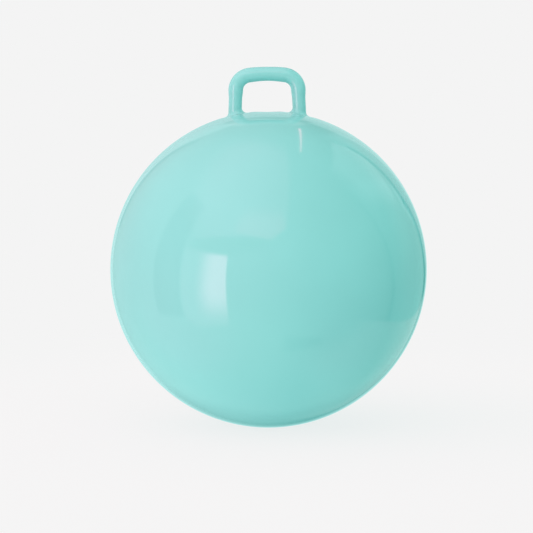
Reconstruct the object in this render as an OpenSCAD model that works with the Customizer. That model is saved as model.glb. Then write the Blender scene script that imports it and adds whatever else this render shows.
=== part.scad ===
// Hopper ball: a hollow, soft vinyl ball to sit and bounce on, with a closed loop handle.
// The handle is a hollow tube that is lofted ring by ring: a shallow arch, two bends and two
// legs whose feet flare onto the ball with a fillet rolled between the leg and the sphere.
// A push-in plug closes the air valve at the back.
// The origin is the centre of the flat patch on the floor, +Z is up, the loop lies in the
// XZ plane, the front is towards -Y and the valve looks back and up, towards +Y.

/* [Ball] */
// Diameter of the inflated ball across its middle
ball_d = 450; // [380:5:560]
// Thickness of the ball's vinyl wall
skin_t = 1.6; // [1.2:0.1:2.6]
// Radius of the flat patch that the ball rests on
patch_r = 24; // [16:1:32]
// Radius of the round edge between the patch and the ball
patch_edge_r = 60; // [45:5:80]
// Angle at which the round edge runs into the ball, too small to see
patch_blend_a = 1.5; // [1:0.1:3]
// Width of the mould's parting ridge
parting_w = 1.2; // [0.8:0.1:2]
// Height of the parting ridge over the ball
parting_h = 0.25; // [0.15:0.05:0.5]

/* [Handle] */
// Distance between the centrelines of the two legs at their shoulders
handle_span = 88.6; // [80:0.2:100]
// Height of the grip's centreline over the top of the ball
grip_rise = 52.8; // [46:0.2:64]
// Outer diameter of the grip at its middle
grip_d = 19.8; // [17:0.2:23]
// Outer diameter of the handle in its two bends
bend_d = 20.8; // [17:0.2:23]
// Outer diameter of the two legs
leg_d = 18.9; // [16:0.1:22]
// Radius of the two bends at the centreline
bend_r = 21.7; // [17:0.1:26]
// Radius of the grip's shallow arch at the centreline
arch_r = 195; // [120:5:400]
// Lean of each leg, so that the legs stand wider at the ball
leg_lean = 2.4; // [0:0.1:6]
// Thickness of the handle's wall
handle_t = 2.5; // [1.8:0.1:3.5]
// Radius of the fillet between each leg and the ball
foot_fillet_r = 7; // [5:0.5:10]
// Thickness of the foot's thin outer edge
toe_t = 0.4; // [0.2:0.1:0.8]
// Set-back of the spigot under each foot from the outside of the leg
spigot_step = 1; // [0.6:0.1:1.4]
// Reach of the spigot past the inside of the ball's wall
spigot_reach = 3; // [2:0.5:6]

/* [Valve seat] */
// Angle from the top of the ball back to the valve
valve_a = 38; // [30:1:80]
// Diameter of the seat's face, flush in the ball's wall
face_d = 26; // [24:0.5:34]
// Diameter of the flange welded behind the wall
flange_d = 38; // [36:1:50]
// Thickness of the flange
flange_t = 1.6; // [1:0.1:3]
// Depth of the recess for the plug's head
recess_depth = 2.4; // [2:0.1:3.4]
// Thickness of the cup around the recess
cup_t = 1.5; // [1:0.1:2.5]
// Outer diameter of the neck inside the ball
neck_d = 15; // [12.5:0.5:18]
// Depth of the neck's end under the face
neck_depth = 16; // [12:0.5:24]
// Diameter of the bore that the plug seals
bore_d = 9; // [7:0.1:10]
// Radius of the fingernail scoop beside the recess
scoop_r = 2.4; // [1.5:0.1:3]

/* [Valve plug] */
// Diameter of the plug's head
plug_head_d = 16.4; // [14:0.2:18]
// Thickness of the plug's head at its middle
plug_head_t = 2; // [1.4:0.1:2.4]
// Radius of the head's domed top
plug_dome_r = 60; // [40:5:200]
// Number of sealing beads round the stem
plug_beads = 3; // [1:1:4]
// Height of a sealing bead over the stem
bead_h = 0.35; // [0.2:0.05:0.6]
// Radius of a sealing bead's round crest
bead_r = 0.9; // [0.6:0.1:1.2]
// Reach of the plug's tip past the end of the neck
plug_reach = 1.5; // [0.5:0.5:6]
// Diameter of the plug's tip
plug_tip_d = 6.5; // [5:0.1:6.8]
// Length of the plug's tapered tip
plug_tip_l = 2.5; // [1:0.5:4]
// Diameter of the blind core in the stem
core_d = 4; // [2.5:0.1:4.4]

/* [Hidden] */
$fn = 144;

// Clearances and the overrun of every cut
weld_gap = 0.05;
port_gap = 0.1;
bead_gap = 0.05;
head_gap = 0.3;
parting_gap = 1.5;
cut_over = 2;

// Colours as photographed, and the pale plug
MINT = "#8fdbd5";
MINT_HANDLE = "#86d5cf";
PALE = "#eef4f2";

// Ball: the round edge's centre lies on the arm from the ball's centre, and the
// law of cosines gives the arm for circles that cross at patch_blend_a
ball_r = ball_d / 2;
patch_arm = sqrt(pow(ball_r, 2) + pow(patch_edge_r, 2)
    - 2 * ball_r * patch_edge_r * cos(patch_blend_a));
edge_z = -sqrt(pow(patch_arm, 2) - pow(patch_r, 2));
centre_z = patch_edge_r - edge_z;
patch_a = asin(patch_r / patch_arm);

// Handle centreline, measured from the ball's centre: the bend is tangent to the arch inside
// it and to the leg, and the leg leaves the bend at the shoulder
grip_z = ball_r + grip_rise;
arch_a = asin((handle_span / 2 - bend_r * cos(leg_lean)) / (arch_r - bend_r));
bend_x = (arch_r - bend_r) * sin(arch_a);
bend_z = grip_z - arch_r + (arch_r - bend_r) * cos(arch_a);
shoulder_x = bend_x + bend_r * cos(leg_lean);
shoulder_z = bend_z + bend_r * sin(leg_lean);
leg_r = leg_d / 2;
spigot_r = leg_r - spigot_step;
toe_ball_r = ball_r + toe_t;

// Rings of the handle's loft: sides of a ring, and rings in each stretch of one half
SIDES = 28;
ARCH_STEPS = 4;
BEND_STEPS = 9;
TAPER_STEPS = 3;
FILLET_STEPS = 6;
// Share of the clear leg that tapers from the bend's diameter to the leg's
taper_share = 0.55;

// Directions at a leg: along it towards the ball, and out of it at angle f round it
function leg_start(s) = [s * shoulder_x, 0, shoulder_z];
function leg_dir(s) = [s * sin(leg_lean), 0, -cos(leg_lean)];
function leg_out(s, f) = [s * cos(f) * cos(leg_lean), sin(f), cos(f) * sin(leg_lean)];
// Distance along dir from w to where it enters the sphere of radius r round the centre
function enter(w, dir, r) = -(w * dir) - sqrt(pow(w * dir, 2) - w * w + pow(r, 2));
// Where the line beside the leg's axis, at radius a and angle f, enters the sphere of radius r
function leg_point(s, f, a, r) =
    let (w = leg_start(s) + a * leg_out(s, f)) w + enter(w, leg_dir(s), r) * leg_dir(s);
// Centre of the ball of radius foot_fillet_r that rolls between the leg and the sphere
function roll(s, f) = leg_point(s, f, leg_r + foot_fillet_r, toe_ball_r + foot_fillet_r);
// Point of the fillet at angle f round the leg, from the leg at k = 0 to the toe at k = 1
function fillet_point(s, f, k) =
    let (q = roll(s, f), from = -leg_out(s, f), to = -q / norm(q), w = acos(from * to))
    q + foot_fillet_r * (sin((1 - k) * w) * from + sin(k * w) * to) / sin(w);
function toe_dir(s, f) = roll(s, f) / norm(roll(s, f));
// Clear length of the leg on its inner side, where the ball is nearest
clear_leg = enter(leg_start(1) + (leg_r + foot_fillet_r) * leg_out(1, 180), leg_dir(1),
    toe_ball_r + foot_fillet_r);
taper_l = taper_share * clear_leg;

// Smooth step from 0 to 1
function ease(k) = k * k * (3 - 2 * k);
// A station is [x, z, angle of the loop's outward normal, outer radius of the tube]
function arch_station(a) =
    let (k = abs(a - 90) / arch_a)
    [arch_r * cos(a), grip_z - arch_r + arch_r * sin(a), a, (grip_d + (bend_d - grip_d) * ease(k)) / 2];
function bend_station(s, a) =
    [s * (bend_x + bend_r * cos(a)), bend_z + bend_r * sin(a), 90 - s * (90 - a), bend_d / 2];
function taper_station(s, k) =
    let (p = leg_start(s) + k * taper_l * leg_dir(s))
    [p[0], p[2], 90 - s * (90 - leg_lean), (bend_d + (leg_d - bend_d) * ease(k)) / 2];
// One half of the loop from the arch down to the leg, without the middle of the arch
function half(s) = concat(
    [for (i = [1 : ARCH_STEPS]) arch_station(90 - s * arch_a * i / ARCH_STEPS)],
    [for (i = [1 : BEND_STEPS]) bend_station(s, 90 - arch_a - (90 - arch_a - leg_lean) * i / BEND_STEPS)],
    [for (i = [1 : TAPER_STEPS]) taper_station(s, i / TAPER_STEPS)]);
function flip(list) = [for (i = [len(list) - 1 : -1 : 0]) list[i]];
stations = concat(flip(half(1)), [arch_station(90)], half(-1));

angles = [for (i = [0 : SIDES - 1]) 360 * i / SIDES];
function ring(st, inset) = [for (f = angles)
    let (a = (st[3] - inset) * cos(f))
    [st[0] + a * cos(st[2]), (st[3] - inset) * sin(f), st[1] + a * sin(st[2])]];
// The foot's rings from the spigot's end up to where the fillet leaves the leg
function foot_rings(s) = concat(
    [[for (f = angles) leg_point(s, f, spigot_r, ball_r - skin_t - spigot_reach)]],
    [[for (f = angles) leg_point(s, f, spigot_r, ball_r + weld_gap)]],
    [[for (f = angles)
        let (m = leg_point(s, f, spigot_r, ball_r + weld_gap) + toe_dir(s, f) * (ball_r + weld_gap))
        m / norm(m) * (ball_r + weld_gap)]],
    [[for (f = angles) toe_dir(s, f) * (ball_r + weld_gap)]],
    [for (j = [FILLET_STEPS : -1 : 0]) [for (f = angles) fillet_point(s, f, j / FILLET_STEPS)]]);
function bore_end(s) =
    [for (f = angles) leg_point(s, f, leg_r - handle_t, ball_r - skin_t - spigot_reach)];
// The outside runs over from the right foot to the left one, and the bore runs back
handle_rings = concat(
    foot_rings(1), [for (st = stations) ring(st, 0)], flip(foot_rings(-1)),
    [bore_end(-1)], [for (st = flip(stations)) ring(st, handle_t)], [bore_end(1)]);

// Plug, measured along the valve's axis from the ball's centre
recess_r = plug_head_d / 2 + head_gap;
recess_z = ball_r - recess_depth;
plug_seat_z = recess_z + weld_gap;
plug_crest_r = bore_d / 2 - bead_gap;
plug_stem_r = plug_crest_r - bead_h;
plug_end_z = ball_r - neck_depth - plug_reach;
// Share of the neck's bore where the beads stand, from its top
bead_from_share = 0.2;
bead_to_share = 0.8;
// Share of the stem's length that the blind core takes
core_share = 0.85;

// Half of the ball's section, drawn in by inset, with the axis at x = 0
module ball_half(inset) {
    difference() {
        intersection() {
            circle(r = ball_r - inset);
            translate([0, -ball_r]) square([ball_r, ball_d]);
        }
        difference() {
            polygon([
                [-cut_over, inset - centre_z],
                [patch_r, inset - centre_z],
                [patch_r, edge_z],
                [patch_r, edge_z] * ball_d / patch_arm,
                [patch_r, -ball_d],
                [-cut_over, -ball_d]
            ]);
            translate([patch_r, edge_z]) circle(r = patch_edge_r - inset);
        }
    }
}

// Parting ridge round the ball in the loop's plane, between two angles from +X
module parting_arc(from_a, to_a) {
    rotate([90, 0, 0]) rotate([0, 0, from_a])
        rotate_extrude(angle = to_a - from_a)
            translate([ball_r - skin_t / 2, -parting_w / 2])
                square([skin_t / 2 + parting_h, parting_w]);
}

// Round port in the wall for the spigot of the right or left leg
module leg_port(s) {
    translate(leg_start(s)) rotate([0, 180 - s * leg_lean, 0])
        cylinder(r = spigot_r + port_gap, h = clear_leg + foot_fillet_r + spigot_reach + leg_d);
}

module at_centre() {
    translate([0, 0, centre_z]) children();
}

module at_valve() {
    at_centre() rotate([-valve_a, 0, 0]) children();
}

module ball_skin() {
    toe_out_a = atan2(toe_dir(1, 0)[0], toe_dir(1, 0)[2]);
    toe_in_a = atan2(toe_dir(1, 180)[0], toe_dir(1, 180)[2]);
    gap_a = asin(parting_gap / ball_r);
    side_a = toe_out_a + gap_a;
    top_a = toe_in_a - gap_a;
    color(MINT)
    difference() {
        at_centre() union() {
            rotate_extrude() difference() {
                ball_half(0);
                ball_half(skin_t);
            }
            parting_arc(patch_a + gap_a - 90, 90 - side_a);
            parting_arc(90 - top_a, 90 + top_a);
            parting_arc(90 + side_a, 270 - patch_a - gap_a);
        }
        at_centre() leg_port(1);
        at_centre() leg_port(-1);
        at_valve() translate([0, 0, ball_r - skin_t - cut_over])
            cylinder(r = face_d / 2 + port_gap, h = skin_t + 2 * cut_over);
    }
}

module handle() {
    n = SIDES;
    m = len(handle_rings);
    color(MINT_HANDLE)
    at_centre() polyhedron(
        points = [for (r = handle_rings) each r],
        faces = [for (k = [0 : m - 1], i = [0 : n - 1])
            let (a = k * n, b = (k + 1) % m * n, j = (i + 1) % n)
            each [[a + i, a + j, b + j], [a + i, b + j, b + i]]],
        convexity = 6);
}

module valve_seat() {
    under_r = ball_r - skin_t - weld_gap;
    color(MINT)
    at_valve() difference() {
        rotate_extrude() difference() {
            union() {
                // Face in the wall
                intersection() {
                    circle(r = ball_r);
                    translate([0, under_r - flange_t]) square([face_d / 2, ball_r]);
                }
                // Flange behind the wall
                intersection() {
                    difference() {
                        circle(r = under_r);
                        circle(r = under_r - flange_t);
                    }
                    square([flange_d / 2, ball_r]);
                }
                // Cup round the recess, and the neck
                translate([0, recess_z - cup_t])
                    square([recess_r + cup_t, under_r - flange_t / 2 - recess_z + cup_t]);
                translate([0, ball_r - neck_depth])
                    square([neck_d / 2, neck_depth - recess_depth]);
            }
            translate([-cut_over, recess_z]) square([recess_r + cut_over, recess_depth + cut_over]);
            translate([-cut_over, ball_r - neck_depth - cut_over])
                square([bore_d / 2 + cut_over, neck_depth + cut_over]);
        }
        translate([0, -recess_r, recess_z]) cylinder(r = scoop_r, h = recess_depth + cut_over);
    }
}

module valve_plug() {
    crown_z = plug_seat_z + plug_head_t;
    stem_l = plug_seat_z - plug_end_z;
    bore_l = neck_depth - recess_depth;
    color(PALE)
    at_valve() rotate_extrude() difference() {
        union() {
            // Head with its domed top
            intersection() {
                translate([0, plug_seat_z]) square([plug_head_d / 2, plug_head_t + cut_over]);
                translate([0, crown_z - plug_dome_r]) circle(r = plug_dome_r);
            }
            // Stem and tapered tip
            polygon([
                [0, plug_end_z],
                [plug_tip_d / 2, plug_end_z],
                [plug_stem_r, plug_end_z + plug_tip_l],
                [plug_stem_r, plug_seat_z + plug_head_t / 2],
                [0, plug_seat_z + plug_head_t / 2]
            ]);
            // Sealing beads
            for (i = [1 : plug_beads])
                let (k = bead_from_share + (bead_to_share - bead_from_share) * (i - 0.5) / plug_beads)
                translate([plug_crest_r - bead_r, recess_z - k * bore_l]) circle(r = bead_r);
        }
        translate([-cut_over, plug_end_z - cut_over])
            square([core_d / 2 + cut_over, core_share * stem_l + cut_over]);
    }
}

ball_skin();
handle();
valve_seat();
valve_plug();
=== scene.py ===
"""Hopper ball: a glossy mint vinyl ball with a closed loop handle, in a plain pale studio.

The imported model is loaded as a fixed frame. Each of its pieces is then drawn again as a fine
surface in the same place, with a moulded vinyl finish.
"""

from math import asin, atan2, cos, pi, radians, sin, sqrt

import bpy
import numpy as np
from bpy.props import (
    FloatProperty,
    FloatVectorProperty,
    IntProperty,
    PointerProperty,
    StringProperty,
)
from mathutils import Matrix, Vector


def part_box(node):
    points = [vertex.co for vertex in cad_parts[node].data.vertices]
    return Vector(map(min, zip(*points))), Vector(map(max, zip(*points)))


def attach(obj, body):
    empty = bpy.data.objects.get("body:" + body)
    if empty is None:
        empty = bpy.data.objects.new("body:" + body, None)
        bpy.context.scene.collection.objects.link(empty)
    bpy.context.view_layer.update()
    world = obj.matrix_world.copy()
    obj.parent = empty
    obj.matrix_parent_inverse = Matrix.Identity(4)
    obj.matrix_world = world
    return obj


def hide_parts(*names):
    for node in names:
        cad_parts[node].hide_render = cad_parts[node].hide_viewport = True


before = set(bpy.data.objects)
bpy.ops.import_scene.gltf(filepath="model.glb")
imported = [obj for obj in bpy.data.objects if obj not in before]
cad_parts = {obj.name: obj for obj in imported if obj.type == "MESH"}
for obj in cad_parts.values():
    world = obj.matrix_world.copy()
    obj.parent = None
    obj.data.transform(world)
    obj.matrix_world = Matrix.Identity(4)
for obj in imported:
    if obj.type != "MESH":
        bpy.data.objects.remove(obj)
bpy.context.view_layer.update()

bl_info = {
    "name": "Hopper ball",
    "version": (1, 0, 0),
    "blender": (4, 5, 0),
    "location": "View3D > Sidebar > Hopper ball",
    "description": "Builds a vinyl hopper ball with a loop handle and an air valve",
    "category": "Add Mesh",
}

MM = 0.001
# How far a piece may stand out of the box of the node that it replaces
BOX_TOLERANCE = 0.5 * MM


# Sizes and colours


def length_prop(name, description, default):
    """A length in metres."""
    return FloatProperty(name=name, description=description, default=default, subtype="DISTANCE")


def angle_prop(name, description, default):
    """An angle in radians, shown in degrees."""
    return FloatProperty(name=name, description=description, default=default, subtype="ANGLE")


def share_prop(name, description, default):
    """A share from 0 to 1."""
    return FloatProperty(
        name=name, description=description, default=default, min=0, max=1, subtype="FACTOR"
    )


class BallSizes(bpy.types.PropertyGroup):
    """Sizes of the ball's hollow wall."""

    diameter: length_prop("Diameter", "Across the inflated ball", 0.450)
    wall: length_prop("Wall", "Thickness of the vinyl", 1.6 * MM)
    patch_radius: length_prop("Patch radius", "Flat patch that it rests on", 24 * MM)
    patch_edge_radius: length_prop(
        "Patch edge radius", "Round edge between the patch and the ball", 60 * MM
    )
    patch_blend: angle_prop(
        "Patch blend", "Angle at which the round edge runs into the ball", radians(1.5)
    )
    crown_drop: length_prop(
        "Crown drop", "How far the ball between the handle's feet lies under a sphere", 1.3 * MM
    )
    crown_reach: length_prop(
        "Crown reach", "Distance in front and behind over which the crown is lowered", 75 * MM
    )
    parting_width: length_prop("Parting width", "Width of the mould's ridge", 1.2 * MM)
    parting_height: length_prop("Parting height", "Height of the mould's ridge", 0.25 * MM)


class HandleSizes(bpy.types.PropertyGroup):
    """Sizes of the hollow loop handle."""

    span: length_prop("Span", "Between the legs' centrelines at the shoulders", 88.6 * MM)
    grip_rise: length_prop("Grip rise", "Grip's centreline over the ball's top", 52.8 * MM)
    grip_d: length_prop("Grip diameter", "Outer diameter at the middle", 19.8 * MM)
    bend_d: length_prop("Bend diameter", "Outer diameter in the bends", 20.8 * MM)
    leg_d: length_prop("Leg diameter", "Outer diameter of the legs", 18.9 * MM)
    bend_radius: length_prop("Bend radius", "Centreline radius of the bends", 21.7 * MM)
    arch_radius: length_prop("Arch radius", "Centreline radius of the grip", 195 * MM)
    lean: angle_prop("Lean", "Outward lean of the legs going down", radians(2.4))
    wall: length_prop("Wall", "Thickness of the tube's wall", 2.5 * MM)
    fillet_radius: length_prop("Foot fillet", "Fillet between leg and ball", 7 * MM)
    seam_height: length_prop("Seam height", "Mould's ridge along the tube", 0.12 * MM)


class ValveSizes(bpy.types.PropertyGroup):
    """Sizes of the valve seat and its push-in plug."""

    angle: angle_prop("Angle", "From the ball's top back to the valve", radians(38))
    face_d: length_prop("Face diameter", "Seat's face in the wall", 26 * MM)
    flange_d: length_prop("Flange diameter", "Flange behind the wall", 38 * MM)
    flange_t: length_prop("Flange thickness", "Flange behind the wall", 1.6 * MM)
    recess_depth: length_prop("Recess depth", "Recess for the plug's head", 2.4 * MM)
    cup_t: length_prop("Cup thickness", "Wall round the recess", 1.5 * MM)
    neck_d: length_prop("Neck diameter", "Neck inside the ball", 15 * MM)
    neck_depth: length_prop("Neck depth", "Neck's end under the face", 16 * MM)
    bore_d: length_prop("Bore diameter", "Bore that the plug seals", 9 * MM)
    scoop_r: length_prop("Scoop radius", "Fingernail scoop beside the recess", 2.4 * MM)
    head_d: length_prop("Head diameter", "Plug's head", 16.4 * MM)
    head_t: length_prop("Head thickness", "Plug's head at its middle", 2 * MM)
    dome_r: length_prop("Dome radius", "Plug's domed top", 60 * MM)
    beads: IntProperty(
        name="Beads", description="Sealing beads round the stem", default=3, min=1, max=4
    )
    bead_h: length_prop("Bead height", "Bead over the stem", 0.35 * MM)
    bead_r: length_prop("Bead crest radius", "Round crest of a bead", 0.9 * MM)
    reach: length_prop("Tip reach", "Plug's tip past the neck's end", 1.5 * MM)
    tip_d: length_prop("Tip diameter", "Plug's tip", 6.5 * MM)
    tip_l: length_prop("Tip length", "Tapered tip", 2.5 * MM)
    core_d: length_prop("Core diameter", "Blind core in the stem", 4 * MM)


class Finishes(bpy.types.PropertyGroup):
    """Colours as sRGB hex and the gloss of the moulded pieces."""

    skin: StringProperty(name="Skin", description="Vinyl of ball and handle", default="#8AD6D3")
    seat: StringProperty(name="Seat", description="Vinyl of the valve seat", default="#88D3CF")
    plug: StringProperty(name="Plug", description="Pale plug", default="#E6EFEC")
    ground: StringProperty(name="Ground", description="Pale ground and backdrop", default="#F4F4F4")
    gloss_roughness: share_prop("Gloss roughness", "Of the polished vinyl", 0.05)
    satin_roughness: share_prop("Satin roughness", "Of the valve pieces", 0.32)


class StudioSizes(bpy.types.PropertyGroup):
    """Camera and floor."""

    distance: length_prop("Distance", "From the camera to the ball's middle", 3.0)
    elevation: angle_prop("Elevation", "Of the camera over the ball's middle", radians(4.5))
    roll: angle_prop("Roll", "Of the camera, so that the handle leans left", radians(0.5))
    ball_px: FloatProperty(name="Ball radius", description="In the frame, in pixels", default=158.2)
    ball_at: FloatVectorProperty(
        name="Ball's middle",
        description="In the frame, in pixels from its top left",
        default=(268.55, 269.4),
        size=2,
    )
    floor_radius: length_prop("Floor radius", "Of the floor's disc", 9.0)


# Surfaces


def unit(v):
    """v / |v| along the last axis."""
    return v / np.linalg.norm(v, axis=-1, keepdims=True)


def ease(k):
    """Smooth step: 3 k^2 - 2 k^3."""
    k = np.clip(k, 0, 1)
    return k * k * (3 - 2 * k)


def ring_surface(name, rings, closed=False, first=None, last=None):
    """Mesh through m rings of n points: quad (k, i) joins points i and i + 1 of rings k and k + 1.

    closed joins the last ring to the first one; first and last are single pole points that
    close the ends with fans. The faces are turned over if the enclosed volume, the sum of
    a . (b x c) / 6 over the triangles, comes out negative.
    """
    rings = np.asarray(rings, dtype=float)
    m, n, _ = rings.shape
    points = rings.reshape(-1, 3)
    k = np.arange(m if closed else m - 1)[:, None]
    i = np.arange(n)[None, :]
    a, b = k * n + i, k * n + (i + 1) % n
    c, d = (k + 1) % m * n + (i + 1) % n, (k + 1) % m * n + i
    quads = np.stack([a, b, c, d], axis=-1).reshape(-1, 4)
    fans = []
    j = np.arange(n)
    if first is not None:
        fans.append(np.stack([np.full(n, len(points)), (j + 1) % n, j], axis=-1))
        points = np.vstack([points, first])
    if last is not None:
        base = (m - 1) * n
        fans.append(np.stack([np.full(n, len(points)), base + j, base + (j + 1) % n], axis=-1))
        points = np.vstack([points, last])
    triangles = np.vstack([quads[:, [0, 1, 2]], quads[:, [0, 2, 3]]] + fans)
    p, q, r = (points[triangles[:, t]] for t in range(3))
    if np.einsum("ij,ij->", p, np.cross(q, r)) < 0:
        quads = quads[:, ::-1]
        fans = [f[:, ::-1] for f in fans]
    corners = np.concatenate([quads.ravel()] + [f.ravel() for f in fans]).astype(np.int32)
    sizes = np.concatenate([np.full(len(quads), 4)] + [np.full(len(f), 3) for f in fans])
    starts = np.cumsum(sizes) - sizes
    mesh = bpy.data.meshes.new(name)
    mesh.vertices.add(len(points))
    mesh.vertices.foreach_set("co", points.astype(np.float32).ravel())
    mesh.loops.add(len(corners))
    mesh.loops.foreach_set("vertex_index", corners)
    mesh.polygons.add(len(sizes))
    mesh.polygons.foreach_set("loop_start", starts.astype(np.int32))
    mesh.polygons.foreach_set("use_smooth", np.ones(len(sizes), dtype=bool))
    mesh.update(calc_edges=True)
    if mesh.validate():
        raise RuntimeError(name + " has a bad face")
    piece = bpy.data.objects.new(name, mesh)
    bpy.context.scene.collection.objects.link(piece)
    return piece


def rounded(corners, steps=5, closed=False):
    """Profile through corners of (r, z, fillet): each corner becomes an arc of its fillet radius.

    The arc leaves the sides at fillet * tan(turn / 2) from the corner, and its centre lies on
    the bisector at fillet / cos(turn / 2). A support point one fillet past each end of the arc
    keeps the shading of the flat sides flat.
    """
    out = []
    count = len(corners)
    for i, (r, z, fillet) in enumerate(corners):
        here = np.array([r, z])
        if fillet <= 0 or (not closed and i in (0, count - 1)):
            out.append(here)
            continue
        before = np.array(corners[i - 1][:2]) - here
        after = np.array(corners[(i + 1) % count][:2]) - here
        u, v = unit(before), unit(after)
        turn = pi - np.arccos(np.clip(u @ v, -1, 1))
        reach = fillet * np.tan(turn / 2)
        centre = here + unit(u + v) * fillet / cos(turn / 2)
        start, end = here + u * reach - centre, here + v * reach - centre
        spare_u = min(fillet, np.linalg.norm(before) / 2 - reach)
        spare_v = min(fillet, np.linalg.norm(after) / 2 - reach)
        if spare_u > 0:
            out.append(here + u * (reach + spare_u))
        for k in np.linspace(0, 1, steps + 1):
            arc = (sin((1 - k) * turn) * start + sin(k * turn) * end) / sin(turn)
            out.append(centre + arc)
        if spare_v > 0:
            out.append(here + v * (reach + spare_v))
    return np.array(out)


# The ball's own shape

# Angles round a foot at which its toe is measured
TOE_COLUMNS = 24
# Half width of the lowered crown, as a share of the way from the middle to a foot
CROWN_SPREAD = 1.3
# Least cosine that the flat patch's distance is divided by; the patch itself lies near 1
LEAST_COSINE = 0.5


class BallShape:
    """Where the ball's wall, the handle's centreline and the valve lie, in metres."""

    def __init__(self, scene):
        b, h, v = scene.hopper_ball, scene.hopper_handle, scene.hopper_valve
        self.b, self.h, self.v = b, h, v
        self.r = b.diameter / 2
        # The round edge's circle crosses the ball's at the blend angle (law of cosines)
        edge_r = b.patch_edge_radius
        self.arm = sqrt(self.r**2 + edge_r**2 - 2 * self.r * edge_r * cos(b.patch_blend))
        self.edge_z = -sqrt(self.arm**2 - b.patch_radius**2)
        self.centre_z = edge_r - self.edge_z
        self.centre = np.array([0, 0, self.centre_z])
        self.patch_a = asin(b.patch_radius / self.arm)
        # Handle: the bend is tangent to the arch inside it and to the leg
        self.grip_z = self.r + h.grip_rise
        between = h.arch_radius - h.bend_radius
        self.arch_a = asin((h.span / 2 - h.bend_radius * cos(h.lean)) / between)
        self.bend_x = between * sin(self.arch_a)
        self.bend_z = self.grip_z - h.arch_radius + between * cos(self.arch_a)
        bend_end = h.bend_radius * np.array([cos(h.lean), 0, sin(h.lean)])
        self.shoulder = np.array([self.bend_x, 0, self.bend_z]) + bend_end
        # Middle of a foot on the ball, and how far its toe stands from it
        turn = np.linspace(0, 2 * pi, TOE_COLUMNS, endpoint=False)
        self.foot = self.leg_point(1, turn, 0.0, self.r)[0]
        toes = unit(self.roll(1, turn, self.r)) * self.r
        self.toe_r = np.linalg.norm(toes - self.foot, axis=1).max()
        # Valve axes: across, back and down, and out of the ball
        self.across = np.array([1.0, 0, 0])
        self.back = np.array([0, cos(v.angle), -sin(v.angle)])
        self.out = np.array([0, sin(v.angle), cos(v.angle)])

    def reach(self, directions, inset=0.0):
        """Distance from the centre to the wall along unit directions.

        With a the angle from straight down: r = (c - inset) / cos a on the patch; on the round
        edge, the far root of |r d - B| = edge radius - inset; on the ball, R - inset.
        """
        down = -directions[..., 2]
        side = np.sqrt(np.clip(1 - down**2, 0, 1))
        a = np.arctan2(side, down)
        sphere = np.full(a.shape, self.r - inset)
        flat = (self.centre_z - inset) / np.maximum(down, LEAST_COSINE)
        to_edge = side * self.b.patch_radius - down * self.edge_z
        edge_r = self.b.patch_edge_radius - inset
        edge = to_edge + np.sqrt(np.maximum(to_edge**2 - self.arm**2 + edge_r**2, 0))
        flat_a = np.arctan2(self.b.patch_radius, self.centre_z - inset)
        rounded_edge = np.where(a < self.patch_a, np.minimum(edge, sphere), sphere)
        return np.where(a < flat_a, flat, rounded_edge) - self.crown(directions * self.r)

    def crown(self, p):
        """How far the ball's crown between the feet lies under the sphere at points p.

        drop * e(1 - |y| / reach) * e(1 - |x| / (spread * foot x)) * e((w - toe) / (foot x - toe)),
        with e the eased step and w the distance to the nearer foot. Nothing lies under the
        equator.
        """
        x, y = np.abs(p[..., 0]), np.abs(p[..., 1])
        way = np.hypot(x - self.foot[0], y) - self.toe_r
        share = ease(1 - y / self.b.crown_reach) * ease(1 - x / (CROWN_SPREAD * self.foot[0]))
        share = share * ease(way / (self.foot[0] - self.toe_r))
        return self.b.crown_drop * np.where(p[..., 2] > 0, share, 0)

    def leg(self, s):
        """Start of leg s (1 right, -1 left) and its direction towards the ball."""
        return self.shoulder * [s, 1, 1], np.array([s * sin(self.h.lean), 0, -cos(self.h.lean)])

    def leg_out(self, s, f):
        """Unit vectors out of the leg at angles f round it, 0 away from the loop."""
        lean = self.h.lean
        return np.stack([s * np.cos(f) * cos(lean), np.sin(f), np.cos(f) * sin(lean)], axis=-1)

    def leg_point(self, s, f, a, r):
        """Where the line beside the leg's axis, at radius a, enters the sphere of radius r.

        With w the line's start and u its direction: t = -w.u - sqrt((w.u)^2 - w.w + r^2).
        """
        start, along = self.leg(s)
        w = start + a * self.leg_out(s, f)
        wu = w @ along
        t = -wu - np.sqrt(wu**2 - np.sum(w * w, axis=-1) + r**2)
        return w + t[..., None] * along

    def roll(self, s, f, toe_r):
        """Centre of the fillet's ball, which rolls between the leg and the sphere of toe_r."""
        fillet = self.h.fillet_radius
        return self.leg_point(s, f, self.h.leg_d / 2 + fillet, toe_r + fillet)


# The ball's wall

ROUND_COLUMNS = 240
ROWS_TO_RIDGE = 72
ROWS_PAST_RIDGE = 60
INNER_ROWS = 56
HOLE_GAP = 0.1 * MM
# Round edge of the valve's hole
LIP_RADIUS = 0.35 * MM
LIP_STEPS = 5
# Space between an end of the ridge and a toe or the patch
PARTING_GAP = 1.5 * MM
# Places across the ridge, as shares of its half width
RIDGE_SHARES = (1, 0.66, 0.33, 0, -0.33, -0.66, -1)
# Length over which an end of the ridge dies away
RIDGE_FADE = 5 * MM
# How strongly the rows crowd towards the ridge, 1 for evenly
CROWDING = 1.5


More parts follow.
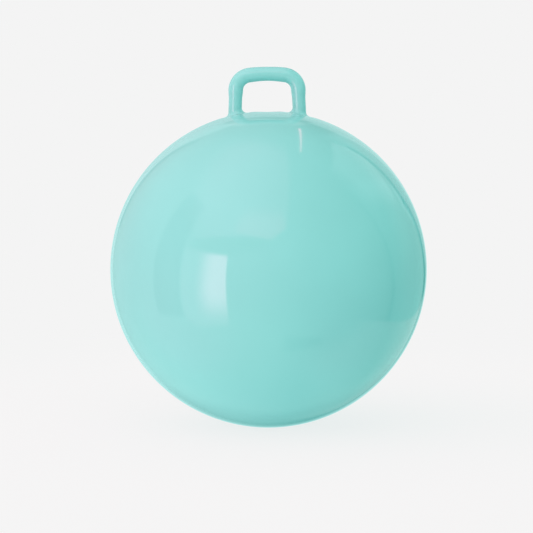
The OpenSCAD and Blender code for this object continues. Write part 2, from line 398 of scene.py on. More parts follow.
def ball_wall(shape):
    """Rings of the wall round the valve's axis, from the inner pole out through the hole.

    A direction is cos(t) out + sin(t) (cos(f) across + sin(f) back). Its y share is
    A cos(t) + B sin(t) with A = sin(valve angle), B = sin(f) cos(valve angle), so the row at
    height y beside the parting plane lies at t = atan2(B, A) + acos(y / (R hypot(A, B))).
    """
    b, v = shape.b, shape.v
    f = np.linspace(0, 2 * pi, ROUND_COLUMNS, endpoint=False)
    big_a, big_b = sin(v.angle), np.sin(f) * cos(v.angle)
    ring = np.cos(f)[:, None] * shape.across + np.sin(f)[:, None] * shape.back

    def directions(t):
        t = np.broadcast_to(t, f.shape)[:, None]
        return np.cos(t) * shape.out + np.sin(t) * ring

    def row_at(y):
        return np.arctan2(big_b, big_a) + np.arccos(y / (shape.r * np.hypot(big_a, big_b)))

    def on_wall(angles, inset=0.0):
        return [d * shape.reach(d, inset)[:, None] for d in map(directions, angles)]

    half = b.parting_width / 2
    hole = asin((v.face_d / 2 + HOLE_GAP) / shape.r)
    lip = LIP_RADIUS / shape.r
    near, far = row_at(half), row_at(-half)
    # Rows crowd towards the ridge, which runs across the small flat patch
    to_ridge = 1 - (1 - np.linspace(0, 1, ROWS_TO_RIDGE, endpoint=False)) ** CROWDING
    past = np.linspace(0, 1, ROWS_PAST_RIDGE)[1:-1]
    outside = on_wall(hole + 2 * lip + k * (near - hole - 2 * lip) for k in to_ridge)
    for share in RIDGE_SHARES:
        d = directions(row_at(share * half))
        height = b.parting_height * (1 + cos(pi * share)) / 2 * ridge_fade(shape, d)
        outside.append(d * (shape.reach(d) + height)[:, None])
    outside += on_wall(far + k * (pi - far) for k in past)
    # Rounded lip of the hole: a quarter circle from its wall to the ball
    lips = [
        directions(hole + lip * (1 - cos(k))) * shape.r * (1 - lip * (1 - sin(k)))
        for k in np.linspace(0, pi / 2, LIP_STEPS)
    ]
    inner_hole = asin(sin(hole) * shape.r / (shape.r - b.wall))
    inside = on_wall(np.linspace(pi, inner_hole, INNER_ROWS)[1:], b.wall)
    pole = directions(pi)[:1]
    first = pole * shape.reach(pole, b.wall) + shape.centre
    last = pole * shape.reach(pole) + shape.centre
    return np.array(inside + lips + outside) + shape.centre, first, last


def ridge_fade(shape, d):
    """1 where the parting ridge stands and 0 under the feet and the patch, eased over its ends."""
    a = np.arctan2(np.abs(d[:, 0]), d[:, 2])
    toes = [toe_angle(shape, f) for f in (0.0, pi)]
    gap, fade = PARTING_GAP / shape.r, RIDGE_FADE / shape.r
    side = ease((a - toes[0] - gap) / fade) * ease((pi - shape.patch_a - gap - a) / fade)
    top = ease((toes[1] - gap - a) / fade)
    return np.maximum(side, top)


def toe_angle(shape, f):
    """Angle from the ball's top to the right foot's toe, outside (f = 0) or inside (f = pi)."""
    q = shape.roll(1, np.array([f]), shape.r)[0]
    return atan2(q[0], q[2])


# The handle's loft

ARCH_STEPS = 20
BEND_STEPS = 28
TAPER_STEPS = 10
LEG_STEPS = 4
FILLET_STEPS = 16
# Share of the leg over which the bend's diameter tapers to the leg's
TAPER_SHARE = 0.55
# Height of the toe over the ball, too thin to see, and how far the foot sinks into the wall
TOE_STAND = 0.03 * MM
TOE_SINK = 0.4 * MM
SEAM_HALF_WIDTH = radians(4)
# Degrees from a seam to a quarter turn, close together near the seam
QUARTER_DEGREES = (0, 1.3, 2.6, 4, 6, *np.linspace(9, 90, 18))


def ring_angles():
    """Angles round the tube: a quarter, mirrored at 90 degrees, and both mirrored at 180."""
    quarter = np.array(QUARTER_DEGREES)
    half = np.concatenate([quarter, 180 - quarter[-2::-1]])
    return np.radians(np.concatenate([half, 360 - half[-2:0:-1]]))


def shares(steps):
    """Steps' ends as shares of the whole, without the start."""
    return [i / steps for i in range(1, steps + 1)]


def handle_loft(shape):
    """Rings of the hollow loop: over the outside from the right toe to the left, and back inside.

    A ring of radius a at (x, z) with outward normal angle g is
    (x + a cos f cos g, a sin f, z + a cos f sin g). The fillet's points lie on the circle round
    the rolling ball's centre q, from -n (towards the leg) to -q / |q| (towards the ball).
    """
    h = shape.h
    f = ring_angles()
    # The seams run along f = 0 and f = pi, and the rest of the tube lies under their crests
    off_seam = np.minimum(f % pi, -f % pi)
    groove = h.seam_height * (1 - ease(1 - off_seam / SEAM_HALF_WIDTH))

    def ring(x, z, g, a):
        out = a * np.cos(f)
        return np.stack([x + out * cos(g), a * np.sin(f), z + out * sin(g)], axis=-1)

    def arch(g):
        k = abs(g - pi / 2) / shape.arch_a
        radius = (h.grip_d + (h.bend_d - h.grip_d) * ease(k)) / 2
        middle_z = shape.grip_z - h.arch_radius
        return h.arch_radius * cos(g), middle_z + h.arch_radius * sin(g), g, radius

    def bend(s, g):
        return (
            s * (shape.bend_x + h.bend_radius * cos(g)),
            shape.bend_z + h.bend_radius * sin(g),
            pi / 2 - s * (pi / 2 - g),
            h.bend_d / 2,
        )

    start, along = shape.leg(1)
    w = start + (h.leg_d / 2 + h.fillet_radius) * shape.leg_out(1, np.array([pi]))[0]
    toe_r = shape.r + TOE_STAND
    inner_centre = shape.roll(1, np.array([pi]), toe_r)[0]
    clear = float((inner_centre - w) @ along)

    def taper(s, k):
        leg_start, leg_along = shape.leg(s)
        p = leg_start + k * TAPER_SHARE * clear * leg_along
        radius = (h.bend_d + (h.leg_d - h.bend_d) * ease(k)) / 2
        return p[0], p[2], pi / 2 - s * (pi / 2 - h.lean), radius

    def half(s):
        top = pi / 2 - shape.arch_a
        stations = [arch(pi / 2 - s * shape.arch_a * k) for k in shares(ARCH_STEPS)]
        stations += [bend(s, top - (top - h.lean) * k) for k in shares(BEND_STEPS)]
        return stations + [taper(s, k) for k in shares(TAPER_STEPS)]

    def foot(s):
        q = shape.roll(s, f, toe_r)
        leave, land = -shape.leg_out(s, f), -unit(q)
        turn = np.arccos(np.clip(np.sum(leave * land, axis=-1), -1, 1))[:, None]
        rings = []
        for k in np.linspace(0, 1, FILLET_STEPS + 1):
            arc = (np.sin((1 - k) * turn) * leave + np.sin(k * turn) * land) / np.sin(turn)
            # The groove beside the seam closes where the foot meets the ball
            sink = (groove * (1 - ease(k)))[:, None] * shape.leg_out(s, f)
            rings.append(q + h.fillet_radius * arc - sink)
        # Straight leg between its taper and the fillet
        upper = ring(*taper(s, 1.0)[:3], h.leg_d / 2 - groove)
        leg = [upper + (rings[0] - upper) * k / (LEG_STEPS + 1) for k in range(1, LEG_STEPS + 1)]
        sunk = unit(q) * (shape.r - TOE_SINK)
        mouth = shape.leg_point(s, f, h.leg_d / 2 - h.wall, shape.r - TOE_SINK)
        return leg + rings + [sunk, (sunk + mouth) / 2], mouth

    stations = half(1)[::-1] + [arch(pi / 2)] + half(-1)
    outside = [ring(x, z, g, a - groove) for x, z, g, a in stations]
    inside = [ring(x, z, g, a - h.wall) for x, z, g, a in stations[::-1]]
    right, right_mouth = foot(1)
    left, left_mouth = foot(-1)
    rings = right[::-1] + outside + left + [left_mouth] + inside + [right_mouth]
    return np.array(rings) + shape.centre


# The valve

LATHE_COLUMNS = 160
WELD_GAP = 0.05 * MM
HEAD_GAP = 0.3 * MM
BEAD_GAP = 0.05 * MM
# Radius of the moulded edges, and the space kept beside one
EDGE = 0.3 * MM
BESIDE = 2 * EDGE
# Radius of the last ring before a pole
POLE_RADIUS = 0.3 * MM
# The beads stand between these shares of the bore, and the core goes up this share of the stem
BEAD_FROM_SHARE = 0.2
BEAD_TO_SHARE = 0.8
CORE_SHARE = 0.85


def turned(shape, profile, radius_at=None):
    """Rings of a profile of (r, z) turned round the valve's axis, with z from the ball's centre.

    The point at angle f is z out + r (cos(f) across + sin(f) back). radius_at may push a ring's
    radii out by angle.
    """
    f = np.linspace(0, 2 * pi, LATHE_COLUMNS, endpoint=False)
    around = np.cos(f)[:, None] * shape.across + np.sin(f)[:, None] * shape.back
    radii = profile[:, 0][:, None] * np.ones(len(f))
    if radius_at is not None:
        radii = radius_at(profile, radii, f)
    return radii[..., None] * around + profile[:, 1, None, None] * shape.out + shape.centre


def seat_profile(shape):
    """Closed section of the seat: face, flange, cup, neck and bore, with small moulded fillets."""
    v, r = shape.v, shape.r
    under = r - shape.b.wall - WELD_GAP
    recess_r = v.head_d / 2 + HEAD_GAP
    recess_z = r - v.recess_depth
    face_r, flange_r = v.face_d / 2, v.flange_d / 2

    def at(radius, x, fillet=0.0):
        """Corner on the sphere of that radius, x from the axis."""
        return (x, sqrt(radius**2 - x**2), fillet)

    def along(radius, start, end, count):
        return [at(radius, x) for x in np.linspace(start, end, count)]

    behind, cup_r = under - v.flange_t, recess_r + v.cup_t
    corners = [
        (v.bore_d / 2, recess_z, EDGE),
        (recess_r, recess_z, EDGE / 2),
        at(r, recess_r, EDGE),
        *along(r, recess_r + BESIDE, face_r - BESIDE, 7),
        at(r, face_r, EDGE / 2),
        at(under, face_r, EDGE / 2),
        *along(under, face_r + BESIDE, flange_r - BESIDE, 5),
        at(under, flange_r, EDGE),
        at(behind, flange_r, EDGE),
        *along(behind, flange_r - BESIDE, cup_r + BESIDE, 5),
        at(behind, cup_r, EDGE),
        (cup_r, recess_z - v.cup_t, EDGE),
        (v.neck_d / 2, recess_z - v.cup_t, EDGE),
        (v.neck_d / 2, r - v.neck_depth, EDGE),
        (v.bore_d / 2, r - v.neck_depth, EDGE),
    ]
    return rounded(corners, closed=True)


def scooped(shape):
    """Pushes the recess's wall out to the fingernail scoop, a circle of scoop_r on the wall.

    In polar form its far side is c cos(a) + sqrt(s^2 - c^2 sin^2(a)), with c the recess's radius,
    s the scoop's and a the angle from the scoop's middle. The push fades out across the face.
    """
    v = shape.v
    c, s = v.head_d / 2 + HEAD_GAP, v.scoop_r
    # Just under the recess's floor, and just inside the face's edge
    floor_z = shape.r - v.recess_depth - EDGE / 10
    bore_r, face_r = v.bore_d / 2, v.face_d / 2 - EDGE

    def push(profile, radii, f):
        # The scoop lies on the side of the valve that faces the handle
        a = (f + pi / 2 + pi) % (2 * pi) - pi
        under_root = s**2 - (c * np.sin(a)) ** 2
        far = c * np.cos(a) + np.sqrt(np.maximum(under_root, 0))
        extra = np.where((under_root > 0) & (np.abs(a) < pi / 4), np.maximum(far - c, 0), 0)
        r, z = profile.T
        pushed = (z >= floor_z) & (r < face_r)
        floor_share = np.clip((r - bore_r) / (c - bore_r), 0, 1)
        face_share = np.clip((face_r - r) / (face_r - c), 0, 1)
        share = np.where(pushed, np.where(r <= c, floor_share, face_share), 0)
        return radii + share[:, None] * extra[None, :]

    return push


def plug_profile(shape):
    """Open section of the plug from the dome's middle to the end of its blind core."""
    v, r = shape.v, shape.r
    seat_z = r - v.recess_depth + WELD_GAP
    crown_z = seat_z + v.head_t
    crest_r = v.bore_d / 2 - BEAD_GAP
    stem_r = crest_r - v.bead_h
    end_z = r - v.neck_depth - v.reach
    head_r = v.head_d / 2
    core_z = end_z + CORE_SHARE * (seat_z - end_z)
    bore_l = v.neck_depth - v.recess_depth

    def dome(x):
        return crown_z - v.dome_r + sqrt(v.dome_r**2 - x**2)

    corners = [(x, dome(x), 0) for x in np.linspace(POLE_RADIUS, head_r - 3 * EDGE, 8)]
    corners += [
        (head_r, dome(head_r), 1.6 * EDGE),
        (head_r, seat_z, EDGE),
        (stem_r, seat_z, EDGE),
    ]
    # A bead stands over the stem where its crest circle reaches past it
    depth = v.bead_r - v.bead_h
    reach = atan2(sqrt(v.bead_r**2 - depth**2), depth)
    for i in range(v.beads):
        share = BEAD_FROM_SHARE + (BEAD_TO_SHARE - BEAD_FROM_SHARE) * (i + 0.5) / v.beads
        z = r - v.recess_depth - share * bore_l
        corners += [
            (crest_r - v.bead_r + v.bead_r * cos(a), z + v.bead_r * sin(a), 0)
            for a in np.linspace(reach, -reach, 9)
        ]
    corners += [
        (stem_r, end_z + v.tip_l, 0),
        (v.tip_d / 2, end_z, EDGE),
        (v.core_d / 2, end_z, EDGE / 2),
        (v.core_d / 2, core_z, EDGE),
        (POLE_RADIUS, core_z, 0),
    ]
    return rounded(corners), crown_z, core_z


# Finishes

# Slow clouding of the pigment: its size, and the share of the colour at either end
CLOUD_MM = 90
CLOUD_TINTS = (0.97, 1.03)
# Soft patches where handling dulls the gloss: their size, the range of the noise that they take
# up, and the share of the roughness at either end
RUB_MM = 40
RUB_RANGE = (0.35, 0.75)
RUB_LEVELS = (0.9, 1.15)
# Bumps' heights as shares of their widths
WAVE_SLOPE = 0.0012
PEEL_SLOPE = 0.0005
VINYL_IOR = 1.53
COAT_IOR = 1.5
COAT_ROUGHNESS = 0.04


def linear(hexa):
    """sRGB hex to linear: c / 12.92 below 0.04045, else ((c + 0.055) / 1.055)^2.4."""
    values = [int(hexa[i : i + 2], 16) / 255 for i in (1, 3, 5)]
    return [c / 12.92 if c <= 0.04045 else ((c + 0.055) / 1.055) ** 2.4 for c in values]


def add_node(tree, kind, inputs=None, **settings):
    """Adds a node: settings are its properties, and inputs maps a socket to a value or a link."""
    node = tree.nodes.new(kind)
    for key, value in settings.items():
        setattr(node, key, value)
    for key, value in (inputs or {}).items():
        if isinstance(value, bpy.types.NodeSocket):
            tree.links.new(value, node.inputs[key])
        else:
            node.inputs[key].default_value = value
    return node


def ramp(tree, value, ends, levels=(0.0, 1.0), kind="SMOOTHSTEP"):
    """value's way between two ends, turned into a way between two levels."""
    inputs = {"Value": value, "From Min": ends[0], "From Max": ends[1]}
    inputs.update({"To Min": levels[0], "To Max": levels[1]})
    node = add_node(tree, "ShaderNodeMapRange", inputs, interpolation_type=kind)
    return node.outputs["Result"]


def mixed(tree, share, rest, chosen):
    """A shader that is chosen by its share, and rest otherwise."""
    return add_node(tree, "ShaderNodeMixShader", {0: share, 1: rest, 2: chosen}).outputs[0]


def new_tree(owner):
    """The empty node tree of a new material or world."""
    owner.use_nodes = True
    owner.node_tree.nodes.clear()
    return owner.node_tree


def moulded_vinyl(name, colour, roughness, peel_mm, wave_mm):
    """Plasticised PVC, moulded against polished steel: an even pigment all through, a clear gloss
    whose reflections keep sharp edges, bent a little by the slow waves of a blown wall, and a
    peel so fine that it only softens them. The gloss is strong, so a clear coat doubles it.
    The peel and the waves have their sizes in millimetres."""
    material = bpy.data.materials.new(name)
    tree = new_tree(material)
    place = add_node(tree, "ShaderNodeTexCoord").outputs["Object"]

    def noise(size_mm, detail, grain):
        inputs = {"Vector": place, "Scale": 1 / (size_mm * MM), "Detail": detail}
        inputs["Roughness"] = grain
        return add_node(tree, "ShaderNodeTexNoise", inputs).outputs["Fac"]

    def bump(height, distance, under=None):
        inputs = {"Strength": 1.0, "Distance": distance, "Height": height}
        if under is not None:
            inputs["Normal"] = under
        return add_node(tree, "ShaderNodeBump", inputs).outputs["Normal"]

    darker, lighter = ([min(c * k, 1) for c in linear(colour)] + [1] for k in CLOUD_TINTS)
    cloud = {"Factor": noise(CLOUD_MM, 2.0, 0.5), 6: darker, 7: lighter}
    tint = add_node(tree, "ShaderNodeMix", cloud, data_type="RGBA").outputs[2]
    levels = [roughness * k for k in RUB_LEVELS]
    dull = ramp(tree, noise(RUB_MM, 3.0, 0.6), RUB_RANGE, levels, "LINEAR")
    # Waves of the wall, and the peel, drawn coarser than real so that it shows
    wave = bump(noise(wave_mm, 1.0, 0.4), wave_mm * MM * WAVE_SLOPE)
    peel = bump(noise(peel_mm, 2.0, 0.5), peel_mm * MM * PEEL_SLOPE, wave)
    shader = add_node(
        tree,
        "ShaderNodeBsdfPrincipled",
        {
            "Base Color": tint,
            "Roughness": dull,
            "Normal": peel,
            "IOR": VINYL_IOR,
            "Coat Weight": 1.0,
            "Coat Roughness": COAT_ROUGHNESS,
            "Coat IOR": COAT_IOR,
        },
    )
    add_node(tree, "ShaderNodeOutputMaterial", {"Surface": shader.outputs[0]})
    return material


def finish_piece(piece, material, body, node):
    """Gives a piece its material and body, hides the node that it replaces, and raises if it
    reaches outside that node's box."""
    piece.data.materials.append(material)
    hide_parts(node)
    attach(piece, body)
    low, high = (np.array(corner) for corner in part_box(node))
    points = np.empty(len(piece.data.vertices) * 3, dtype=np.float32)
    piece.data.vertices.foreach_get("co", points)
    points = points.reshape(-1, 3)
    if (points < low - BOX_TOLERANCE).any() or (points > high + BOX_TOLERANCE).any():
        reach = points.min(axis=0), points.max(axis=0)
        raise RuntimeError(f"{piece.name} reaches outside {node}: {reach}")


# Operators


class HOPPER_OT_ball(bpy.types.Operator):
    """Adds the ball's hollow wall, with its resting patch, parting ridge and valve hole"""

    bl_idname = "hopper.ball"
    bl_label = "Ball wall"

    def execute(self, context):
        look = context.scene.hopper_finish
        rings, first, last = ball_wall(BallShape(context.scene))
        piece = ring_surface("ball_wall", rings, first=first, last=last)
        # Blown wide and thin, so its waves are long
        material = moulded_vinyl("Gloss vinyl, ball", look.skin, look.gloss_roughness, 5, 80)
        finish_piece(piece, material, "ball", "ball_skin")
        return {"FINISHED"}


class HOPPER_OT_handle(bpy.types.Operator):
    """Adds the hollow loop handle with its flared feet and mould seam"""

    bl_idname = "hopper.handle"
    bl_label = "Loop handle"

    def execute(self, context):
        look = context.scene.hopper_finish
        piece = ring_surface("loop_handle", handle_loft(BallShape(context.scene)), closed=True)
        # The ball's vinyl, thicker, with shorter waves round the tube
        material = moulded_vinyl("Gloss vinyl, handle", look.skin, look.gloss_roughness, 4, 30)
        finish_piece(piece, material, "ball", "handle")
        return {"FINISHED"}


class HOPPER_OT_seat(bpy.types.Operator):
    """Adds the valve seat with its recess, scoop, flange, neck and bore"""

    bl_idname = "hopper.seat"
    bl_label = "Valve seat"

    def execute(self, context):
        look, shape = context.scene.hopper_finish, BallShape(context.scene)
        rings = turned(shape, seat_profile(shape), scooped(shape))
        piece = ring_surface("valve_insert", rings, closed=True)
        dull = look.satin_roughness
        # Softer vinyl from a matt die, which blurs what it mirrors
        material = moulded_vinyl("Satin vinyl, valve seat", look.seat, dull, 1.5, 12)
        finish_piece(piece, material, "ball", "valve_seat")
        return {"FINISHED"}


class HOPPER_OT_plug(bpy.types.Operator):
    """Adds the push-in plug with its domed head, sealing beads and tapered tip"""

    bl_idname = "hopper.plug"
    bl_label = "Valve plug"

    def execute(self, context):
        look, shape = context.scene.hopper_finish, BallShape(context.scene)
        profile, crown_z, core_z = plug_profile(shape)
        first = shape.out * crown_z + shape.centre
        last = shape.out * core_z + shape.centre
        piece = ring_surface("push_plug", turned(shape, profile), first=first, last=last)
        # Harder, waxy and off-white, moulded in the same way, so the same surface serves
        material = moulded_vinyl("Satin polythene, plug", look.plug, look.satin_roughness, 1.5, 12)
        finish_piece(piece, material, "plug", "valve_plug")
        return {"FINISHED"}


# The studio

# Frame in pixels, and the sensor that it stands for
FRAME_PX = 533
SENSOR_MM = 36.0
# The light that the gloss shows, by direction from the ball: azimuth from the camera towards +X,
# and elevation, in degrees. Colours are linear, and a negative one takes light away from what
# lies under it.
# Broad, round soft lights: azimuth, elevation, angle that they fill, angle where they end, colour
BROAD_LIGHTS = {
    "left wall": (-88.2, -6.3, 39.1, 130.7, (0.45, 0.49, 0.51)),
    "front": (-30.8, 12, 39.3, 124.4, (0.03, 0.03, 0.01)),
    "ceiling right": (50.9, 51.5, 23.1, 85.3, (0.19, 0.21, 0.21)),
    "ground left": (-47.8, -52.1, 17.3, 108.9, (0.17, 0.14, 0.14)),
    "ceiling": (134.2, 80, 35, 111.7, (0.15, 0.35, 0.32)),
    "back right": (143.3, 0.6, 20.3, 43.6, (0.19, 0.18, 0.18)),
    "ground behind": (-179.8, -47.2, 20.1, 76.7, (0, 0.31, 0.27)),
    "ground middle": (-15, -52, 8, 48, (0, 0.08, 0.04)),
    "left low": (-72, -28, 8, 45, (0.14, 0, 0.05)),
    "right shade": (75, -32, 8, 45, (0.02, -0.07, -0.05)),
    "ground front": (45, -25, 12, 75, (0.1, 0.23, 0.22)),
}
# Panels with straight edges: a colour, then the corners in order, each with its azimuth,
# elevation and the softness of the edge from it to the next one
PANELS = {
    "window": (
        (0.24, 0.1, 0.15),
        (-67, -26.4, 3), (-59.5, -33, 1.8), (-32.6, -34.4, 1.4), (-29.6, 13, 1.2), (-63.5, 16.2, 3),
    ),
    "window glare": (
        (2.3, 0.97, 1.34),
        (-50, -21.5, 26), (-31, -23.4, 1.4), (-29.7, 13.2, 4), (-45.5, 13.9, 16),
    ),
    "overhead": (
        (0.3, 0.06, 0.15),
        (-63, 19.6, 1.6), (2.6, 25.6, 1.6), (15, 33.3, 3), (133, 77, 16), (-142, 53.5, 30),
        (-83, 46, 22),
    ),
    "overhead lamp": (
        (0.42, 0.06, 0.12),
        (-26.5, 29.8, 1.2), (2, 25, 1.2), (14.2, 32.9, 3), (14, 43.5, 14), (-23.5, 43.5, 5),
    ),
    "overhead gap": (
        (-0.14, -0.14, -0.17),
        (-62, 15.2, 2), (-29, 12.8, 5), (-4, 20, 14), (-12, 27.6, 2), (-62, 20.6, 3),
    ),
    "black flag": (
        (-0.27, -0.32, -0.32),
        (-85.5, 46, 1.6), (-61.5, 43.2, 1.6), (-68.6, -26, 2.2), (-92, -21.5, 2),
    ),
    "table edge": (
        (0.22, 0.22, 0.21),
        (80, -27.7, 1.5), (104, -24.6, 1.5), (156, -9.75, 6), (173, -37, 18), (106, -72, 45),
        (47, -58, 20),
    ),
    "side wall": (
        (0.05, 0.13, 0.13),
        (87, 45.8, 4), (98.6, -1, 4), (107, -24.1, 1.5), (152, -11.4, 6), (149, 8, 6), (135, 28, 6),
    ),
    "side seam upper": (
        (-0.11, -0.12, -0.12),
        (84.5, 46, 1.5), (88, 46, 1.5), (97.5, 12, 1.5), (94.5, 12, 1.5),
    ),
    "side seam lower": (
        (-0.13, -0.15, -0.15),
        (94.5, 12.5, 1.5), (97.5, 12.5, 1.5), (108.5, -24.5, 1.5), (105, -24.5, 1.5),
    ),
    "corner patch": (
        (0.24, 0.25, 0.27),
        (102, 56, 2.5), (148, 45, 2), (146.5, 31.5, 4), (134.5, 19, 12), (100, 32, 15),
    ),
    "corner": (
        (0.09, 0.15, 0.16),
        (141, 28, 4), (137, 14, 4), (148, 3, 4), (158, -5, 3), (162.4, 5, 4), (164, 23, 4),
        (153, 46, 8),
    ),
    "back seam": ((-0.2, -0.2, -0.2), (146, 36, 2), (150.5, 36, 2), (147, 12, 2), (142.5, 12, 2)),
    "back seam lower": (
        (-0.2, -0.2, -0.2),
        (142.5, 12.5, 2), (147, 13, 2), (161, -7.5, 2), (156, -9, 2),
    ),
    "backdrop": (
        (0.16, 0.2, 0.21),
        (163, -24, 4), (162, 11, 2), (160, 27, 2.5), (-163, 39, 4), (-156, 34, 3), (-156, -26, 16),
    ),
    "backdrop dip": (
        (-0.16, -0.2, -0.21),
        (169, 27.5, 3), (-169, 27.5, 3), (-169, 38.3, 2.5), (169, 31.5, 3),
    ),
    "overhead low": ((0.2, 0.2, 0.2), (168, 34, 3), (-168, 34, 3), (-168, 43.5, 5), (168, 43.5, 3)),
    "left seam": ((-0.12, -0.1, -0.1), (-156.5, 37, 2), (-152, 37, 2), (-152, 3, 3), (-157, 3, 2)),
    "own shadow": (
        (-0.1, -0.15, -0.14),
        (148, -54, 14), (-152, -54, 12), (-158, -20, 7), (154, -20, 12),
    ),
    "floor patch": (
        (-0.17, -0.22, -0.22),
        (14, -43.5, 2.2), (47, -41.8, 2), (50.7, -46.8, 1.8), (15, -56.3, 2.2),
    ),
}
# Narrow strip light behind on the right: its two ends, a half width and level for its core and for
# the glow round it, and its colour
STRIP = ((165.35, 46.1), (126.8, 70.4), ((0.62, 1.0), (2.0, 0.13)), (1.4, 0.4, 0.55))
# Share of a half width that has the full level, and the softness of the ends, as a cosine
STRIP_CORE = 0.3
STRIP_END = 0.004
# Light on the matt pigment: plain level, and how much more comes from the right, front and above
DOME = {
    "level": (0.94, 1.15, 1.08),
    "right": (-0.9, -0.25, -0.33),
    "front": (0.65, 0.32, 0.37),
    "above": (0, -0.3, -0.22),
}
# A broad light on the matt pigment from behind, so that the far side keeps a plain level
FILL = (155, 5, 20, 78, (0.62, 0.3, 0.34))
# The floor's rings in metres, and its columns
FLOOR_RADII = (0.4, 1.0, 2.5, 5.0)
FLOOR_COLUMNS = 96
# Share of the floor's look that the ball shades, and the radii where that is full and gone
FLOOR_SHADE = 0.14
SHADE_RADII = (0.5, 1.2)
# Light that the floor gives back to the matt pigment: colour, and its level on the left and right
BOUNCE = (0.87, 0.99, 0.985)
BOUNCE_LEVELS = (1.0, 0.6)
BOUNCE_X = (-0.1, 0.6)


class HOPPER_OT_stage(bpy.types.Operator):
    """Adds the pale floor, the studio's light and the camera"""

    bl_idname = "hopper.stage"
    bl_label = "Studio"

    def execute(self, context):
        scene = context.scene
        add_world(scene)
        add_floor(scene)
        add_camera(scene)
        scene.view_settings.view_transform = "Standard"
        return {"FINISHED"}


def add_camera(scene):
    """Camera at the photograph's place.

    The focal length F follows from the ball's radius p in pixels at distance D, as
    p = F tan(asin(R / D)). The aim is turned by how far the ball's middle lies from the frame's,
    in pixels over F.
    """
    studio, shape = scene.hopper_studio, BallShape(scene)
    focal_px = studio.ball_px / np.tan(asin(shape.r / studio.distance))
    away = Vector((0, -cos(studio.elevation), sin(studio.elevation)))
    place = Vector(shape.centre) + away * studio.distance
    right = Vector((1, 0, 0))
    up = right.cross(-away)
    across, down = ((at - FRAME_PX / 2) / focal_px for at in studio.ball_at)
    look = (-away - right * across + up * down).normalized()
    side = look.cross(Vector((0, 0, 1))).normalized()
    top = side.cross(look)
    roll = Matrix.Rotation(studio.roll, 3, look)
    side, top = roll @ side, roll @ top
    camera = bpy.data.objects.new("camera", bpy.data.cameras.new("camera"))
    camera.data.sensor_width = SENSOR_MM
    camera.data.sensor_fit = "HORIZONTAL"
    camera.data.lens = focal_px / FRAME_PX * SENSOR_MM
    camera.matrix_world = Matrix((side, top, -look)).transposed().to_4x4()
    camera.location = place
    scene.collection.objects.link(camera)
    scene.camera = camera


def direction(az, el):
    """Unit vector at an azimuth from -Y towards +X and an elevation, in degrees."""
    a, e = radians(az), radians(el)
    return (sin(a) * cos(e), -cos(a) * cos(e), sin(e))


def add_floor(scene):
    """A pale disc without a horizon.

    The camera sees it in the backdrop's own colour, less the share that the ball shades. The
    gloss sees the studio through it, since the window in the photograph's gloss reaches far
    under the horizon. The matt pigment gets a soft light from it, which is less on the right.
    """
    studio, look = scene.hopper_studio, scene.hopper_finish
    turns = np.linspace(0, 2 * pi, FLOOR_COLUMNS, endpoint=False)
    circle = np.stack([np.cos(turns), np.sin(turns), np.zeros(FLOOR_COLUMNS)], axis=-1)
    radii = np.array([*FLOOR_RADII, studio.floor_radius])
    floor = ring_surface("floor", radii[:, None, None] * circle, first=np.zeros(3))
    material = bpy.data.materials.new("Matt paper ground")
    tree = new_tree(material)
    path = add_node(tree, "ShaderNodeLightPath")
    place = add_node(tree, "ShaderNodeTexCoord").outputs["Object"]
    pale = linear(look.ground)
    # Light that falls on open floor: the dome's level and two thirds of its slope
    falls = [level + above * 2 / 3 for level, above in zip(DOME["level"], DOME["above"])]
    far = add_node(tree, "ShaderNodeVectorMath", {0: place}, operation="LENGTH").outputs["Value"]
    shade = ramp(tree, far, SHADE_RADII, (FLOOR_SHADE, 0.0))
    plain = add_node(tree, "ShaderNodeEmission", {"Color": pale + [1], "Strength": 1.0})
    paper = [c / f for c, f in zip(pale, falls)]
    matt = add_node(tree, "ShaderNodeBsdfDiffuse", {"Color": paper + [1]})
    seen = mixed(tree, shade, plain.outputs[0], matt.outputs[0])
    x = add_node(tree, "ShaderNodeSeparateXYZ", {0: place}).outputs["X"]
    level = ramp(tree, x, BOUNCE_X, BOUNCE_LEVELS, "LINEAR")
    bounce = add_node(tree, "ShaderNodeEmission", {"Color": (*BOUNCE, 1), "Strength": level})
    clear = add_node(tree, "ShaderNodeBsdfTransparent")
    unseen = mixed(tree, path.outputs["Is Glossy Ray"], bounce.outputs[0], clear.outputs[0])
    surface = mixed(tree, path.outputs["Is Camera Ray"], unseen, seen)
    add_node(tree, "ShaderNodeOutputMaterial", {"Surface": surface})
    floor.data.materials.append(material)


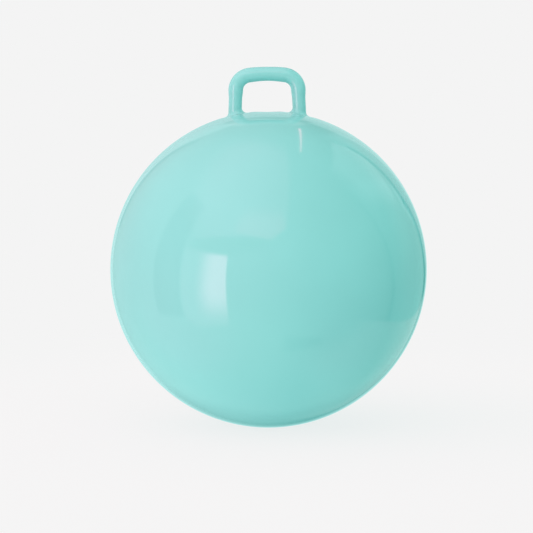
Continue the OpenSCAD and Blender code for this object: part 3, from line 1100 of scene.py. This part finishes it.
def add_world(scene):
    """Studio light by direction.

    The camera sees the plain backdrop, the gloss sees the lights, panels and strip, and the
    matt pigment is lit by a soft dome, whose colours change evenly from left to right, from
    back to front and from below to above.
    """
    world = bpy.data.worlds.new("studio")
    scene.world = world
    tree = new_tree(world)
    place = add_node(tree, "ShaderNodeTexCoord").outputs["Generated"]
    x, y, z = add_node(tree, "ShaderNodeSeparateXYZ", {0: place}).outputs

    def maths(operation, a, b=0.0):
        return add_node(tree, "ShaderNodeMath", {0: a, 1: b}, operation=operation).outputs[0]

    def vector(operation, inputs, output="Vector"):
        return add_node(tree, "ShaderNodeVectorMath", inputs, operation=operation).outputs[output]

    def along(way):
        return vector("DOT_PRODUCT", {0: place, 1: way}, "Value")

    def plus(total, colour, share):
        return vector("ADD", {0: total, 1: vector("SCALE", {0: colour, "Scale": share})})

    def round_light(total, az, el, inner, outer, colour):
        """A smooth step of the cosine of the angle from the light's middle."""
        ends = cos(radians(outer)), cos(radians(inner))
        return plus(total, colour, ramp(tree, along(direction(az, el)), ends))

    def panel(total, colour, corners):
        """A smooth edge along the plane through each pair of corners, multiplied."""
        ways = [Vector(direction(az, el)) for az, el, _ in corners]
        middle = sum(ways, Vector())
        share = 1.0
        for start, end, (_, _, softness) in zip(ways, ways[1:] + ways[:1], corners):
            inward = start.cross(end).normalized()
            inward *= 1 if inward @ middle > 0 else -1
            soft = sin(radians(softness / 2))
            share = maths("MULTIPLY", share, ramp(tree, along(inward), (-soft, soft)))
        return plus(total, colour, share)

    def strip(total, first, last, widths, colour):
        """A smooth step of the distance from the plane through its ends, and between them."""
        start, end = Vector(direction(*first)), Vector(direction(*last))
        off = maths("ABSOLUTE", along(start.cross(end).normalized()))
        middle = (start + end).normalized()
        edge = start @ middle
        between = ramp(tree, along(middle), (edge - STRIP_END, edge + STRIP_END))
        for half_width, level in widths:
            ends = sin(radians(half_width)), sin(radians(half_width * STRIP_CORE))
            thin = maths("MULTIPLY", ramp(tree, off, ends), between)
            total = plus(total, [level * c for c in colour], thin)
        return total

    gloss = (0.0, 0.0, 0.0)
    for light in BROAD_LIGHTS.values():
        gloss = round_light(gloss, *light)
    for colour, *corners in PANELS.values():
        gloss = panel(gloss, colour, corners)
    gloss = strip(gloss, *STRIP)
    dome = plus(DOME["level"], DOME["right"], x)
    dome = plus(dome, DOME["front"], maths("MULTIPLY", y, -1.0))
    dome = round_light(plus(dome, DOME["above"], z), *FILL)
    backdrop = linear(scene.hopper_finish.ground) + [1]
    gloss, dome, backdrop = (
        add_node(tree, "ShaderNodeBackground", {"Color": colour, "Strength": 1.0}).outputs[0]
        for colour in (gloss, dome, backdrop)
    )
    path = add_node(tree, "ShaderNodeLightPath").outputs
    lit = mixed(tree, path["Is Glossy Ray"], dome, gloss)
    seen = mixed(tree, path["Is Camera Ray"], lit, backdrop)
    add_node(tree, "ShaderNodeOutputWorld", {"Surface": seen})
    # The dome is soft all over, so its light needs no map of bright spots
    world.cycles.sampling_method = "NONE"


class HOPPER_PT_panel(bpy.types.Panel):
    """Sizes, finishes and the buttons that build the ball"""

    bl_label = "Hopper ball"
    bl_idname = "HOPPER_PT_panel"
    bl_space_type = "VIEW_3D"
    bl_region_type = "UI"
    bl_category = "Hopper ball"

    def draw(self, context):
        for group in GROUPS:
            box = self.layout.box()
            for name in GROUPS[group].__annotations__:
                box.prop(getattr(context.scene, group), name)
        for operator in OPERATORS:
            self.layout.operator(operator.bl_idname)


GROUPS = {
    "hopper_ball": BallSizes,
    "hopper_handle": HandleSizes,
    "hopper_valve": ValveSizes,
    "hopper_finish": Finishes,
    "hopper_studio": StudioSizes,
}
OPERATORS = (HOPPER_OT_ball, HOPPER_OT_handle, HOPPER_OT_seat, HOPPER_OT_plug, HOPPER_OT_stage)


def register():
    """Adds the classes, and the groups of sizes to the scene."""
    for cls in (*GROUPS.values(), *OPERATORS, HOPPER_PT_panel):
        bpy.utils.register_class(cls)
    for name, cls in GROUPS.items():
        setattr(bpy.types.Scene, name, PointerProperty(type=cls))


def unregister():
    """Takes away what register added."""
    for name in GROUPS:
        delattr(bpy.types.Scene, name)
    for cls in (HOPPER_PT_panel, *reversed(OPERATORS), *reversed(GROUPS.values())):
        bpy.utils.unregister_class(cls)


def main():
    """Builds the scene."""
    register()
    bpy.ops.hopper.stage()
    bpy.ops.hopper.ball()
    bpy.ops.hopper.handle()
    bpy.ops.hopper.seat()
    bpy.ops.hopper.plug()


if __name__ == "__main__":
    main()
